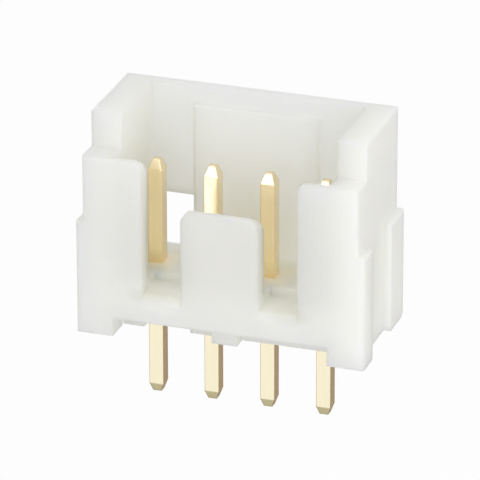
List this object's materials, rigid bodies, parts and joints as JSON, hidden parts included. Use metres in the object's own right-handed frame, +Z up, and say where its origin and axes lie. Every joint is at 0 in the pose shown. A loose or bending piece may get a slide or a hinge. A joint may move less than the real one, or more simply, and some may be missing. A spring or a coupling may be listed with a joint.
{
  "type": "wire to board connector header",
  "caption": "Straight shrouded board header: moulded nylon housing with a slotted front wall and square gold-plated contacts pressed through its floor.",
  "frame": {"origin": "middle of the contact row, on the plane of the board that the feet stand on", "axes": "+X along the contact row, with the first contact at the -X end; -Y towards the slotted front wall; +Z up out of the mating opening, away from the board"},
  "size_m": [0.0102, 0.0046, 0.0106],
  "materials": {
    "nylon": "natural white nylon, slightly translucent, satin",
    "contact": "gold plated, polished"
  },
  "bodies": {
    "root": {"housing": "nylon", "pin_1": "contact", "pin_2": "contact", "pin_3": "contact", "pin_4": "contact"}
  },
  "joints": []
}
